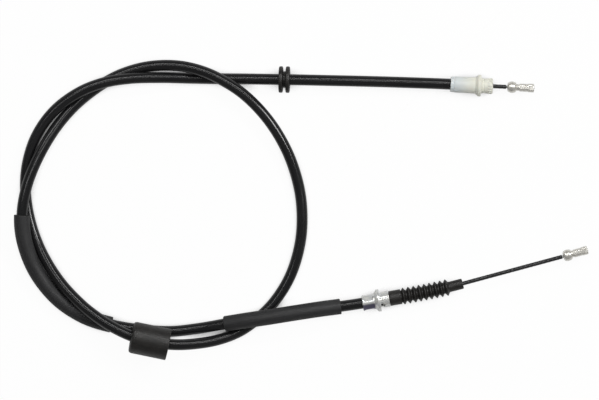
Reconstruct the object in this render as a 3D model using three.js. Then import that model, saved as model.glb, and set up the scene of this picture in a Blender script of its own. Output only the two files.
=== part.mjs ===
// Rear parking brake cable of a car, laid down flat in an interlaced loop of one and a half turns.
// A black conduit carries a coated steel strand. Its front end is a white nylon ferrule, and its
// rear end is a plated steel ferrule with a rubber bellows boot. Both ends of the strand have a
// ball-and-shank nipple. A grommet, a guide bush and two protective sleeves sit on the conduit.
// Millimetres, +Z up. The cable lies on the plane z = 0, with the origin at the middle of its box.
import * as THREE from 'three';

// Middle of the laid-out cable's box, in the route's own coordinates
const boxMiddleX = 1.3;
const boxMiddleY = -0.6;

// Play between two pieces that touch, and between the layers of the conduit
const seatGap = 0.3;
const layerGap = 0.25;

// Inner cable, from its middle out
const strandDiameter = 2.2;
const coatGap = 0.25;
const coatWall = 0.3;
const slideGap = 0.5;

// Conduit, from the inside out
const linerWall = 0.45;
const armourWall = 0.7;
const jacketWall = 0.6;
const hiddenSides = 8;
const conduitSides = 12;
const conduitSteps = 60;
const shortestStep = 1.0;
const searchStep = 0.25;

// White nylon front ferrule, measured from the end that the conduit enters
const frontBandLength = 3.0;
const frontBandDiameter = 12.2;
const frontBarrelDiameter = 13.0;
const frontBarrelLength = 19.6;
const frontShoulderDiameter = 17.3;
const frontShoulderCone = 2.6;
const frontShoulderRim = 2.2;
const frontNoseLength = 9.4;
const frontNoseDiameter = 12.0;
const frontGrooveDiameter = 11.2;
const frontGrooveAt = 1.6;
const frontGrooveWidth = 1.2;
const frontTipDiameter = 12.6;
const frontTipLength = 3.6;
const frontSeatDepth = 19.0;

// Front end of the strand, measured from the tip of the ferrule's nose
const frontFreeWire = 11.8;
const frontTail = 20.0;
const slideIn = 9.0;

// Plated steel rear ferrule, measured from the end that the conduit enters
const rearSleeveLength = 10.1;
const rearSleeveDiameter = 12.3;
const rearFlangeCone = 2.0;
const rearFlangeRim = 2.1;
const rearFlangeDiameter = 17.8;
const rearGrooveLength = 2.0;
const rearGrooveDiameter = 10.8;
const rearNeckLength = 4.3;
const rearNeckDiameter = 12.4;
const rearLipLength = 1.0;
const rearLipDiameter = 13.0;
const rearSpigotLength = 8.4;
const rearSpigotDiameter = 9.0;
const rearSeatDepth = 16.5;

// Rubber bellows boot, from its cuff on the rear ferrule to its nose on the strand
const cuffLength = 9.5;
const cuffDiameter = 12.0;
const bellowsCount = 9;
const bellowsPitch = 4.35;
const crestDiameter = 13.4;
const valleyDiameter = 9.2;
const crestFlat = 0.9;
const bootWall = 1.0;
const bootNoseLength = 11.3;
const bootNoseDiameter = 8.4;
const bootChordAngle = 11.6;
const bootHandle = 20.0;

// Rear end of the strand, measured from the tip of the boot's nose
const rearWireAngle = 15.1;
const rearFreeWire = 83.3;
const rearTail = 13.0;

// Ball-and-shank nipples, measured from the strand's side of the ball
const ballDiameter = 9.0;
const ballLength = 7.1;
const ballFlat = 5.0;
const frontNeckLength = 2.4;
const frontShankLength = 12.0;
const rearNeckReach = 1.0;
const rearShankLength = 12.2;
const neckDiameter = 5.2;
const shankDiameter = 6.2;
const shankEndDiameter = 6.8;
const shankEndLength = 5.0;
const nippleWeb = 2.0;
const nippleChamfer = 0.6;
const nippleMouthDiameter = 4.0;
const nippleMouthDepth = 0.5;
const bareStrand = 1.1;

// Rubber grommet, with a groove for the edge of a sheet-metal hole
const grommetAt = 152.4;
const grommetFlange = 3.2;
const grommetGroove = 2.3;
const grommetDiameter = 21.2;
const grommetGrooveDiameter = 13.2;
const grommetEdge = 1.2;
const grommetSpan = 5.0;

// Rubber guide bush, which sits loosely on the conduit
const bushX = -119.8;
const bushY = -104.3;
const bushZ = 20.2;
const bushAngle = -11.8;
const bushFall = 3.6;
const bushLength = 30.4;
const bushDiameter = 25.4;
const bushBoreDiameter = 12.8;
const bushRoundEnd = 3.6;
const bushSharpEnd = 0.8;

// Protective sleeves, given by where they start along the conduit, and by their length
const loopGuardFrom = 1129.6;
const loopGuardLength = 123.6;
const loopGuardDiameter = 12.8;
const rearGuardFrom = 1346.0;
const rearGuardLength = 94.0;
const rearGuardDiameter = 12.5;

// Facets of the turned pieces
const ferruleSides = 24;
const bootSides = 16;
const nippleSides = 20;
const ballSteps = 8;
const grommetSides = 24;
const grommetEdgeSteps = 3;
const bushSides = 28;
const bushRoundSteps = 4;
const bushSharpSteps = 2;

// What follows from the sizes above
const strandRadius = strandDiameter / 2;
const coatBore = strandRadius + coatGap;
const coatRadius = coatBore + coatWall;
const linerBore = coatRadius + slideGap;
const linerRadius = linerBore + linerWall;
const armourBore = linerRadius + layerGap;
const armourRadius = armourBore + armourWall;
const jacketBore = armourRadius + layerGap;
const conduitRadius = jacketBore + jacketWall;
const conduitSeat = conduitRadius + seatGap;

// The way of the conduit, from its seat in the front ferrule to the middle of the rear boot.
// The loop is laced: each strand of it goes over and under the other in turn.
const route = [
  // front ferrule and the straight run to the grommet
  [139.4, 99.7, 8.65], [112.0, 101.0, 8.65], [64.0, 102.6, 9.3], [16.0, 103.7, 10.6],
  [-13.0, 104.3, 10.9], [-40.0, 104.8, 8.0],
  // under the loop, over it, and down its left side
  [-64.8, 105.1, 5.1], [-88.0, 105.5, 6.0], [-112.0, 105.9, 9.5], [-136.0, 105.1, 13.0],
  [-156.0, 101.9, 13.9], [-175.8, 94.4, 12.3], [-196.2, 79.7, 9.3], [-210.6, 60.0, 7.0],
  [-218.1, 38.0, 5.1], [-219.8, 16.0, 4.45], [-216.3, -8.0, 4.45], [-207.7, -32.0, 5.5],
  // up over the sleeve and through the bush
  [-193.0, -56.0, 9.6], [-175.1, -75.1, 14.9], [-159.5, -87.2, 18.4], [-147.7, -94.3, 20.2],
  [-134.3, -100.5, 21.0], [-119.6, -104.7, 20.2], [-104.0, -107.2, 18.9],
  // down again, under the rear sleeve and round the right side
  [-88.0, -107.2, 15.8], [-66.0, -103.9, 9.4], [-48.0, -97.0, 5.2], [-33.6, -86.7, 4.5],
  [-19.4, -72.0, 4.45], [-7.0, -51.0, 4.45], [0.5, -24.0, 4.45], [1.4, 2.0, 4.45],
  [-2.2, 24.0, 5.2], [-10.8, 48.0, 7.7], [-25.4, 72.0, 11.2], [-45.0, 92.4, 13.9],
  // over the run at the top, under it, and down the left side again
  [-64.8, 105.1, 14.5], [-80.0, 111.5, 14.1], [-98.0, 115.3, 12.0], [-120.0, 114.9, 8.5],
  [-140.0, 109.9, 5.6], [-156.0, 102.2, 4.55], [-176.0, 87.5, 4.9], [-190.5, 72.2, 7.0],
  [-201.6, 56.1, 10.2], [-212.0, 36.0, 12.7], [-218.5, 18.0, 14.0], [-222.0, -2.0, 14.3],
  [-221.2, -20.0, 12.5], [-215.4, -40.0, 9.4], [-206.6, -56.0, 7.3], [-191.8, -72.5, 6.6],
  [-172.0, -85.1, 6.6], [-152.0, -91.6, 6.6], [-130.0, -95.5, 4.5], [-104.0, -97.2, 4.5],
  // up over the loop and into the rear ferrule and its boot
  [-84.0, -95.2, 6.3], [-56.0, -90.3, 13.0], [-40.0, -87.7, 16.0], [-25.6, -85.6, 16.5],
  [-8.0, -82.8, 15.1], [16.0, -79.2, 11.6], [36.0, -76.6, 9.2], [50.0, -74.5, 8.9],
  [71.2, -70.9, 8.9], [100.5, -65.7, 8.9],
];
const rearEntryPoint = route.length - 3;

// Each layer of the conduit is swept over the same stations, so that they lie evenly inside
// each other. A point between two stations lies on the chord that joins them.
const way = new THREE.CatmullRomCurve3(route.map((p) => new THREE.Vector3(...p)), false, 'centripetal');
way.arcLengthDivisions = 4000;
const wayLength = way.getLength();
const stations = way.getSpacedPoints(conduitSteps);
const frames = way.computeFrenetFrames(conduitSteps, false);
const stationStep = wayLength / conduitSteps;

function onChord(list, distance) {
  const place = THREE.MathUtils.clamp(distance / stationStep, 0, conduitSteps);
  const before = Math.min(Math.floor(place), conduitSteps - 1);
  return list[before].clone().lerp(list[before + 1], place - before);
}

// The distance along the conduit at which it passes nearest to a point
function distanceTo(point) {
  let nearest = 0;
  for (let distance = 0; distance <= wayLength; distance += searchStep) {
    const gap = onChord(stations, distance).distanceTo(point);
    if (gap < onChord(stations, nearest).distanceTo(point)) nearest = distance;
  }
  return nearest;
}

// A stretch of the conduit's way, from one distance along it to another
class Stretch extends THREE.Curve {
  constructor(from, to) {
    super();
    const between = stations.map((_, i) => i * stationStep)
      .filter((d) => d > from + shortestStep && d < to - shortestStep);
    this.marks = [from, ...between, to];
    this.steps = this.marks.length - 1;
  }

  getSpacedPoints() {
    return this.marks.map((d) => onChord(stations, d));
  }

  computeFrenetFrames() {
    const at = (list) => this.marks.map((d) => onChord(list, d).normalize());
    return { tangents: at(frames.tangents), normals: at(frames.normals), binormals: at(frames.binormals) };
  }
}

const polygon = (radius, sides) => Array.from({ length: sides }, (_, i) => {
  const angle = (2 * Math.PI * i) / sides;
  return new THREE.Vector2(radius * Math.cos(angle), radius * Math.sin(angle));
});

// A tube, or a rod where the bore is 0, along a curve
function tube(path, steps, radius, bore, sides, boreSides = sides) {
  const section = new THREE.Shape(polygon(radius, sides));
  if (bore > 0) section.holes.push(new THREE.Path(polygon(bore, boreSides)));
  return new THREE.ExtrudeGeometry(section, { steps, extrudePath: path });
}

function onConduit(from, to, radius, bore, sides, boreSides) {
  const stretch = new Stretch(from, to);
  return tube(stretch, stretch.steps, radius, bore, sides, boreSides);
}

// A straight tube or rod on the X axis
function straight(from, to, radius, bore, sides) {
  const line = new THREE.LineCurve3(new THREE.Vector3(from, 0, 0), new THREE.Vector3(to, 0, 0));
  return tube(line, 1, radius, bore, sides);
}

// A turned piece on the X axis, from points of [place along the axis, radius]
function turned(profile, sides) {
  const points = profile.map(([along, radius]) => new THREE.Vector2(radius, along));
  return new THREE.LatheGeometry(points, sides).rotateZ(-Math.PI / 2);
}

// An arc in a profile, about a centre, in degrees from the axis
function arc(centre, radius, start, end, count) {
  return Array.from({ length: count + 1 }, (_, i) => {
    const angle = THREE.MathUtils.degToRad(start + ((end - start) * i) / count);
    return [centre[0] + radius * Math.cos(angle), centre[1] + radius * Math.sin(angle)];
  });
}

const closed = (profile) => [...profile, profile[0]];

function piece(name, geometry, material) {
  const mesh = new THREE.Mesh(geometry, material);
  mesh.name = name;
  return mesh;
}

// Turns the X axis of a group to a direction, and moves it to a place
function placed(position, direction, ...pieces) {
  const group = new THREE.Group();
  group.position.copy(position);
  group.quaternion.setFromUnitVectors(new THREE.Vector3(1, 0, 0), direction);
  group.add(...pieces);
  return group;
}

const blackPolymer = new THREE.MeshStandardMaterial({ color: 0x1c1c1d, roughness: 0.32 });
const spiralSteel = new THREE.MeshStandardMaterial({ color: 0x8f9194, roughness: 0.4, metalness: 1 });
const linerPlastic = new THREE.MeshStandardMaterial({ color: 0xe4e2d8, roughness: 0.45 });
const strandSteel = new THREE.MeshStandardMaterial({ color: 0xa9aaa8, roughness: 0.4, metalness: 1 });
const coatPlastic = new THREE.MeshStandardMaterial({ color: 0x222224, roughness: 0.45 });
const whiteNylon = new THREE.MeshStandardMaterial({ color: 0xdcdcd4, roughness: 0.42 });
const platedSteel = new THREE.MeshStandardMaterial({ color: 0xc2c3c0, roughness: 0.3, metalness: 1 });
const castZinc = new THREE.MeshStandardMaterial({ color: 0xb9b6ae, roughness: 0.35, metalness: 1 });
const rubber = new THREE.MeshStandardMaterial({ color: 0x262524, roughness: 0.7 });
const sleeveRubber = new THREE.MeshStandardMaterial({ color: 0x2b2b2c, roughness: 0.6 });

// Ends of the conduit
const frontSeat = new THREE.Vector3(...route[0]);
const frontDirection = frontSeat.clone().sub(new THREE.Vector3(...route[1])).normalize();
const frontEntry = frontSeat.clone().addScaledVector(frontDirection, -frontSeatDepth);
const rearEntry = new THREE.Vector3(...route[rearEntryPoint]);
const rearDirection = new THREE.Vector3(...route[rearEntryPoint + 1]).sub(rearEntry).normalize();
const conduitEnd = distanceTo(rearEntry.clone().addScaledVector(rearDirection, rearSeatDepth));

function conduit() {
  const layer = (radius, bore, sides) => onConduit(0, conduitEnd, radius, bore, sides, hiddenSides);
  return [
    piece('conduit_jacket', layer(conduitRadius, jacketBore, conduitSides), blackPolymer),
    piece('conduit_armour', layer(armourRadius, armourBore, hiddenSides), spiralSteel),
    piece('conduit_liner', layer(linerRadius, linerBore, hiddenSides), linerPlastic),
  ];
}

// The middle of the strand. Its two ends are pieces of their own, because they slide.
const frontNoseTip = frontBarrelLength + frontShoulderCone + frontShoulderRim + frontNoseLength;
const middleFrom = frontTail + slideIn - (frontNoseTip - frontSeatDepth);
function middleOfStrand() {
  return [
    piece('middle_strand', onConduit(middleFrom, wayLength, strandRadius, 0, hiddenSides), strandSteel),
    piece('middle_coat', onConduit(middleFrom, wayLength, coatRadius, coatBore, hiddenSides), coatPlastic),
  ];
}

function frontFerrule() {
  const shoulderAt = frontBarrelLength;
  const rimAt = shoulderAt + frontShoulderCone;
  const faceAt = rimAt + frontShoulderRim;
  const grooveAt = faceAt + frontGrooveAt;
  const tipAt = frontNoseTip - frontTipLength;
  const wireBore = coatRadius + slideGap;
  return turned(closed([
    [0, conduitSeat], [0, frontBandDiameter / 2],
    [frontBandLength, frontBandDiameter / 2], [frontBandLength, frontBarrelDiameter / 2],
    [shoulderAt, frontBarrelDiameter / 2], [rimAt, frontShoulderDiameter / 2],
    [faceAt, frontShoulderDiameter / 2], [faceAt, frontNoseDiameter / 2],
    [grooveAt, frontNoseDiameter / 2], [grooveAt, frontGrooveDiameter / 2],
    [grooveAt + frontGrooveWidth, frontGrooveDiameter / 2],
    [grooveAt + frontGrooveWidth, frontNoseDiameter / 2],
    [tipAt, frontNoseDiameter / 2], [tipAt, frontTipDiameter / 2],
    [frontNoseTip, frontTipDiameter / 2], [frontNoseTip, wireBore],
    [frontSeatDepth + seatGap, wireBore], [frontSeatDepth + seatGap, conduitSeat],
  ]), ferruleSides);
}

function rearFerrule() {
  const flangeAt = rearSleeveLength + rearFlangeCone;
  const faceAt = flangeAt + rearFlangeRim;
  const neckAt = faceAt + rearGrooveLength;
  const lipAt = neckAt + rearNeckLength;
  const lipEnd = lipAt + rearLipLength;
  const wireBore = coatRadius + slideGap;
  return turned(closed([
    [0, conduitSeat], [0, rearSleeveDiameter / 2],
    [rearSleeveLength, rearSleeveDiameter / 2], [flangeAt, rearFlangeDiameter / 2],
    [faceAt, rearFlangeDiameter / 2], [faceAt, rearGrooveDiameter / 2],
    [neckAt, rearGrooveDiameter / 2], [neckAt, rearNeckDiameter / 2],
    [lipAt, rearNeckDiameter / 2], [lipAt, rearLipDiameter / 2],
    [lipEnd, rearLipDiameter / 2], [lipEnd, rearSpigotDiameter / 2],
    [lipEnd + rearSpigotLength, rearSpigotDiameter / 2], [lipEnd + rearSpigotLength, wireBore],
    [rearSeatDepth + seatGap, wireBore], [rearSeatDepth + seatGap, conduitSeat],
  ]), ferruleSides);
}

const rearFerruleLength = rearSleeveLength + rearFlangeCone + rearFlangeRim + rearGrooveLength
  + rearNeckLength + rearLipLength;
const bellowsLength = bellowsCount * bellowsPitch;
const bootLength = cuffLength + bellowsLength + bootNoseLength;

// The boot's axis leaves the ferrule straight and bends a little towards the free strand
const inPlane = (degrees) => {
  const angle = THREE.MathUtils.degToRad(degrees);
  return new THREE.Vector3(Math.cos(angle), Math.sin(angle), 0);
};
const bootStart = rearEntry.clone().addScaledVector(rearDirection, rearFerruleLength + seatGap);
const bootTip = bootStart.clone().addScaledVector(inPlane(bootChordAngle), bootLength);
const rearWireDirection = inPlane(rearWireAngle);
const bootAxis = new THREE.CubicBezierCurve3(
  bootStart,
  bootStart.clone().addScaledVector(rearDirection, bootHandle),
  bootTip.clone().addScaledVector(rearWireDirection, -bootHandle),
  bootTip,
);

// Bends a turned piece on the X axis, so that it follows the boot's axis
function bend(geometry, axis, length) {
  const position = geometry.getAttribute('position');
  const vertex = new THREE.Vector3();
  const up = new THREE.Vector3(0, 0, 1);
  for (let i = 0; i < position.count; i += 1) {
    vertex.fromBufferAttribute(position, i);
    const share = THREE.MathUtils.clamp(vertex.x / length, 0, 1);
    const side = up.clone().cross(axis.getTangentAt(share));
    const moved = axis.getPointAt(share).addScaledVector(side, vertex.y).addScaledVector(up, vertex.z);
    position.setXYZ(i, moved.x, moved.y, moved.z);
  }
  return geometry;
}

function boot() {
  const cuffBore = rearSpigotDiameter / 2 + seatGap;
  const noseBore = coatRadius + seatGap;
  const crest = crestDiameter / 2;
  const valley = valleyDiameter / 2;
  const outside = [[0, cuffBore], [0, cuffDiameter / 2], [cuffLength, cuffDiameter / 2]];
  const inside = [[cuffLength, cuffBore]];
  for (let i = 0; i < bellowsCount; i += 1) {
    const start = cuffLength + i * bellowsPitch;
    const middle = start + bellowsPitch / 2;
    outside.push([start + crestFlat / 2, valley], [middle - crestFlat / 2, crest]);
    outside.push([middle + crestFlat / 2, crest], [start + bellowsPitch - crestFlat / 2, valley]);
    inside.push([start + crestFlat / 2, valley - bootWall], [middle, crest - bootWall]);
  }
  const noseAt = cuffLength + bellowsLength;
  outside.push([noseAt, bootNoseDiameter / 2], [bootLength, bootNoseDiameter / 2]);
  inside.push([noseAt - crestFlat / 2, valley - bootWall], [noseAt + bootWall, noseBore]);
  const profile = [...outside, [bootLength, noseBore], ...inside.reverse()];
  return bend(turned(closed(profile), bootSides), bootAxis, bootLength);
}

// A nipple on the X axis, which starts at the strand's side of its ball
function nipple(neckLength, shankLength) {
  const bore = strandRadius + seatGap;
  const ballRound = ballLength / 2;
  const neckAt = ballLength + neckLength;
  const end = neckAt + shankLength;
  const ball = [];
  for (let i = 0; i <= ballSteps; i += 1) {
    const along = -ballRound + (ballLength * i) / ballSteps;
    const swell = Math.sqrt(Math.max(0, 1 - (along / ballRound) ** 2));
    ball.push([ballRound + along, ballFlat / 2 + (ballDiameter / 2 - ballFlat / 2) * swell]);
  }
  return turned([
    [end - nippleWeb, 0], [end - nippleWeb, bore], [nippleMouthDepth, bore],
    [0, nippleMouthDiameter / 2], ...ball,
    [ballLength, neckDiameter / 2], [neckAt, neckDiameter / 2],
    [neckAt + nippleChamfer, shankDiameter / 2], [end - shankEndLength, shankDiameter / 2],
    [end - shankEndLength, shankEndDiameter / 2], [end, shankEndDiameter / 2], [end, 0],
  ], nippleSides);
}

// One sliding end of the inner cable: strand, coat and nipple, from the tip that it comes out of
function slidingEnd(side, tail, freeWire, neckLength, shankLength) {
  const nippleEnd = freeWire + ballLength + neckLength + shankLength;
  const strandEnd = nippleEnd - nippleWeb - seatGap;
  const nippleMesh = piece(`${side}_nipple`, nipple(neckLength, shankLength), castZinc);
  nippleMesh.position.x = freeWire;
  return [
    piece(`${side}_strand`, straight(-tail, strandEnd, strandRadius, 0, hiddenSides), strandSteel),
    piece(`${side}_coat`, straight(-tail, freeWire - bareStrand, coatRadius, coatBore, hiddenSides), coatPlastic),
    nippleMesh,
  ];
}

function grommet() {
  const width = 2 * grommetFlange + grommetGroove;
  const rim = grommetDiameter / 2 - grommetEdge;
  const left = [
    ...arc([grommetEdge, rim], grommetEdge, 180, 90, grommetEdgeSteps),
    ...arc([grommetFlange - grommetEdge, rim], grommetEdge, 90, 0, grommetEdgeSteps),
    [grommetFlange, grommetGrooveDiameter / 2],
  ];
  const right = left.map(([along, radius]) => [width - along, radius]).reverse();
  return turned(closed([[0, conduitSeat], ...left, ...right, [width, conduitSeat]]), grommetSides)
    .translate(-width / 2, 0, 0);
}

function guideBush() {
  const bore = bushBoreDiameter / 2;
  const radius = bushDiameter / 2;
  return turned(closed([
    [0, bore],
    ...arc([bushRoundEnd, radius - bushRoundEnd], bushRoundEnd, 180, 90, bushRoundSteps),
    ...arc([bushLength - bushSharpEnd, radius - bushSharpEnd], bushSharpEnd, 90, 0, bushSharpSteps),
    [bushLength, bore],
  ]), bushSides).translate(-bushLength / 2, 0, 0);
}

const cable = new THREE.Group();
cable.add(...conduit(), ...middleOfStrand());
cable.add(placed(frontEntry, frontDirection, piece('front_ferrule', frontFerrule(), whiteNylon)));
cable.add(placed(
  frontEntry.clone().addScaledVector(frontDirection, frontNoseTip),
  frontDirection,
  ...slidingEnd('front', frontTail, frontFreeWire, frontNeckLength, frontShankLength),
));
cable.add(placed(rearEntry, rearDirection, piece('rear_ferrule', rearFerrule(), platedSteel)));
cable.add(piece('rear_boot', boot(), rubber));
cable.add(placed(
  bootTip,
  rearWireDirection,
  ...slidingEnd('rear', rearTail, rearFreeWire, rearNeckReach, rearShankLength),
));

const grommetPlace = onChord(stations, grommetAt);
const grommetDirection = onChord(stations, grommetAt - grommetSpan)
  .sub(onChord(stations, grommetAt + grommetSpan))
  .normalize();
cable.add(placed(grommetPlace, grommetDirection, piece('grommet', grommet(), rubber)));

const bushDirection = inPlane(bushAngle);
bushDirection.z = -Math.tan(THREE.MathUtils.degToRad(bushFall));
cable.add(placed(
  new THREE.Vector3(bushX, bushY, bushZ),
  bushDirection.normalize(),
  piece('guide_bush', guideBush(), rubber),
));

const guard = (from, length, diameter) => (
  onConduit(from, from + length, diameter / 2, conduitSeat, conduitSides)
);
cable.add(
  piece('loop_sleeve', guard(loopGuardFrom, loopGuardLength, loopGuardDiameter), sleeveRubber),
  piece('rear_sleeve', guard(rearGuardFrom, rearGuardLength, rearGuardDiameter), sleeveRubber),
);

// The middle of the whole box goes to the origin
cable.position.set(-boxMiddleX, -boxMiddleY, 0);

export default cable;
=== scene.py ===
import math

import bmesh
import bpy
from mathutils import Matrix, Vector


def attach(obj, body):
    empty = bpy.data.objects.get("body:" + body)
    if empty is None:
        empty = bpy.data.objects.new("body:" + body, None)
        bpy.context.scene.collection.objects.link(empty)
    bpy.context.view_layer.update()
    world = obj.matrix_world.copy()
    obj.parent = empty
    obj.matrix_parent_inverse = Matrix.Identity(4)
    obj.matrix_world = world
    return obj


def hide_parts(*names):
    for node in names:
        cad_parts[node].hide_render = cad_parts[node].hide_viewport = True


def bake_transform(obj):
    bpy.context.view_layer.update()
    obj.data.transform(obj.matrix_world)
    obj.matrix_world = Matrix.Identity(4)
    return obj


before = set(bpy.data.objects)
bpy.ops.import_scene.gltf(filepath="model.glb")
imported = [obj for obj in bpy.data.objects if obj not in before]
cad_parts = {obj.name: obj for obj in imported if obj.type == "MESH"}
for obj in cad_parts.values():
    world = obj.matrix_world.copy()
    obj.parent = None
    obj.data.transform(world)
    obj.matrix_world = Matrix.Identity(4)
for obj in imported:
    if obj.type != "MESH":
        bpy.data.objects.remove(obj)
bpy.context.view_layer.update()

# Camera: straight above the cable, which lies flat, with the front end at the upper right. A long
# lens keeps the picture free of perspective, as in a parts catalogue.
mm = 0.001
view_width = 479.2 * mm
view_middle = (-1.7 * mm, 8.6 * mm)
view_height = 8 * mm

camera = bpy.data.objects.new("camera", bpy.data.cameras.new("camera"))
bpy.context.scene.collection.objects.link(camera)
bpy.context.scene.camera = camera
camera.data.lens = 300.0
camera.data.sensor_width = 36.0
camera.data.clip_end = 100.0
camera_height = view_height + view_width * camera.data.lens / camera.data.sensor_width
camera.location = (*view_middle, camera_height)

# Conduit: a steel spiral with a plastic liner and a black jacket, extruded over it in one length.
# It is laid down in a laced loop of one and a half turns, so each strand goes over and under the
# other in turn, and its two ends sit in the ferrules.
conduit_radius = 4.4 * mm
conduit_sides = 28
conduit_step = 1.6 * mm
curve_steps = 40
box_middle = Vector((1.3 * mm, -0.6 * mm, 0.0))
rear_seat_depth = 16.5 * mm
jacket_black = "#161617"

route = [
    # front ferrule and the straight run to the grommet
    (0.1394, 0.0997, 0.00865), (0.112, 0.101, 0.00865), (0.064, 0.1026, 0.0093),
    (0.016, 0.1037, 0.0106), (-0.013, 0.1043, 0.0109), (-0.04, 0.1048, 0.008),
    # under the loop, over it, and down its left side
    (-0.0648, 0.1051, 0.0051), (-0.088, 0.1055, 0.006), (-0.112, 0.1059, 0.0095),
    (-0.136, 0.1051, 0.013), (-0.156, 0.1019, 0.0139), (-0.1758, 0.0944, 0.0123),
    (-0.1962, 0.0797, 0.0093), (-0.2106, 0.06, 0.007), (-0.2181, 0.038, 0.0051),
    (-0.2198, 0.016, 0.00445), (-0.2163, -0.008, 0.00445), (-0.2077, -0.032, 0.0055),
    # up over the sleeve and through the bush
    (-0.193, -0.056, 0.0096), (-0.1751, -0.0751, 0.0149), (-0.1595, -0.0872, 0.0184),
    (-0.1477, -0.0943, 0.0202), (-0.1343, -0.1005, 0.021), (-0.1196, -0.1047, 0.0202),
    (-0.104, -0.1072, 0.0189),
    # down again, under the rear sleeve and round the right side
    (-0.088, -0.1072, 0.0158), (-0.066, -0.1039, 0.0094), (-0.048, -0.097, 0.0052),
    (-0.0336, -0.0867, 0.0045), (-0.0194, -0.072, 0.00445), (-0.007, -0.051, 0.00445),
    (0.0005, -0.024, 0.00445), (0.0014, 0.002, 0.00445), (-0.0022, 0.024, 0.0052),
    (-0.0108, 0.048, 0.0077), (-0.0254, 0.072, 0.0112), (-0.045, 0.0924, 0.0139),
    # over the run at the top, under it, and down the left side again
    (-0.0648, 0.1051, 0.0145), (-0.08, 0.1115, 0.0141), (-0.098, 0.1153, 0.012),
    (-0.12, 0.1149, 0.0085), (-0.14, 0.1099, 0.0056), (-0.156, 0.1022, 0.00455),
    (-0.176, 0.0875, 0.0049), (-0.1905, 0.0722, 0.007), (-0.2016, 0.0561, 0.0102),
    (-0.212, 0.036, 0.0127), (-0.2185, 0.018, 0.014), (-0.222, -0.002, 0.0143),
    (-0.2212, -0.02, 0.0125), (-0.2154, -0.04, 0.0094), (-0.2066, -0.056, 0.0073),
    (-0.1918, -0.0725, 0.0066), (-0.172, -0.0851, 0.0066), (-0.152, -0.0916, 0.0066),
    (-0.13, -0.0955, 0.0045), (-0.104, -0.0972, 0.0045),
    # up over the loop and into the rear ferrule and its boot
    (-0.084, -0.0952, 0.0063), (-0.056, -0.0903, 0.013), (-0.04, -0.0877, 0.016),
    (-0.0256, -0.0856, 0.0165), (-0.008, -0.0828, 0.0151), (0.016, -0.0792, 0.0116),
    (0.036, -0.0766, 0.0092), (0.05, -0.0745, 0.0089), (0.0712, -0.0709, 0.0089),
    (0.1005, -0.0657, 0.0089),
]
route = [Vector(point) - box_middle for point in route]
rear_entry = route[-3]
rear_direction = (route[-2] - rear_entry).normalized()


def smooth_way(points, step):
    """A centripetal Catmull-Rom curve through the points, as points at equal steps along it."""
    ends = [2 * points[0] - points[1], *points, 2 * points[-1] - points[-2]]
    dense = [points[0]]
    for before, start, end, after in zip(ends, ends[1:], ends[2:], ends[3:]):
        first = (start - before).length ** 0.5
        middle = (end - start).length ** 0.5
        last = (after - end).length ** 0.5
        leave = ((start - before) / first - (end - before) / (first + middle)) * middle + (end - start)
        arrive = ((after - end) / last - (after - start) / (middle + last)) * middle + (end - start)
        for i in range(1, curve_steps + 1):
            t = i / curve_steps
            dense.append(
                (2 * t**3 - 3 * t**2 + 1) * start
                + (t**3 - 2 * t**2 + t) * leave
                + (3 * t**2 - 2 * t**3) * end
                + (t**3 - t**2) * arrive
            )
    reach = [0.0]
    for a, b in zip(dense, dense[1:]):
        reach.append(reach[-1] + (b - a).length)
    count = round(reach[-1] / step)
    even, at = [], 0
    for i in range(count + 1):
        wanted = reach[-1] * i / count
        while at < len(dense) - 2 and reach[at + 1] < wanted:
            at += 1
        even.append(dense[at].lerp(dense[at + 1], (wanted - reach[at]) / (reach[at + 1] - reach[at])))
    return even


def length_of(points):
    return sum((b - a).length for a, b in zip(points, points[1:]))


whole_way = smooth_way(route, conduit_step)
rear_seat = rear_entry + rear_direction * rear_seat_depth
seat_index = min(range(len(whole_way)), key=lambda i: (whole_way[i] - rear_seat).length)
conduit_way = whole_way[: seat_index + 1]


def linear(hex_colour):
    """An sRGB hex colour as linear red, green, blue and alpha."""
    parts = [int(hex_colour[i : i + 2], 16) / 255 for i in (1, 3, 5)]
    return [*(p / 12.92 if p <= 0.04045 else ((p + 0.055) / 1.055) ** 2.4 for p in parts), 1.0]


def add_node(tree, kind, inputs=None, **settings):
    """Adds a node with its own settings, and gives each input a value or a link."""
    node = tree.nodes.new(kind)
    for name, value in settings.items():
        setattr(node, name, value)
    for socket, value in (inputs or {}).items():
        if isinstance(value, bpy.types.NodeSocket):
            tree.links.new(value, node.inputs[socket])
        else:
            node.inputs[socket].default_value = value
    return node


def new_material(name, settings):
    """A material with its node tree and its shader, whose sockets get the settings."""
    material = bpy.data.materials.new(name)
    material.use_nodes = True
    shader = material.node_tree.nodes["Principled BSDF"]
    for socket, value in settings.items():
        shader.inputs[socket].default_value = value
    return material, material.node_tree, shader


def patches(tree, size, detail=2.0, low=0.0, high=1.0, turn=(0.0, 0.0, 0.0)):
    """Soft patches of that size, in metres along and across the piece as it was made."""
    made = add_node(tree, "ShaderNodeAttribute", attribute_name="as_made")
    scaled = add_node(tree, "ShaderNodeMapping", {
        "Vector": made.outputs["Vector"],
        "Rotation": turn,
        "Scale": [1 / s for s in size],
    })
    noise = add_node(tree, "ShaderNodeTexNoise", {
        "Vector": scaled.outputs["Vector"], "Scale": 1.0, "Detail": detail,
    })
    spread = add_node(tree, "ShaderNodeMapRange", {
        "Value": noise.outputs[0], "From Min": 0.3, "From Max": 0.7, "To Min": low, "To Max": high,
    })
    return spread.outputs["Result"]


def tinted(tree, shader, amount, low, high):
    """Shader colour from one hex colour to another, as amount goes from 0 to 1."""
    colours = {0: amount, 6: linear(low), 7: linear(high)}
    mix = add_node(tree, "ShaderNodeMix", colours, data_type="RGBA")
    tree.links.new(mix.outputs[2], shader.inputs["Base Color"])
    return mix.outputs[2]


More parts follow.
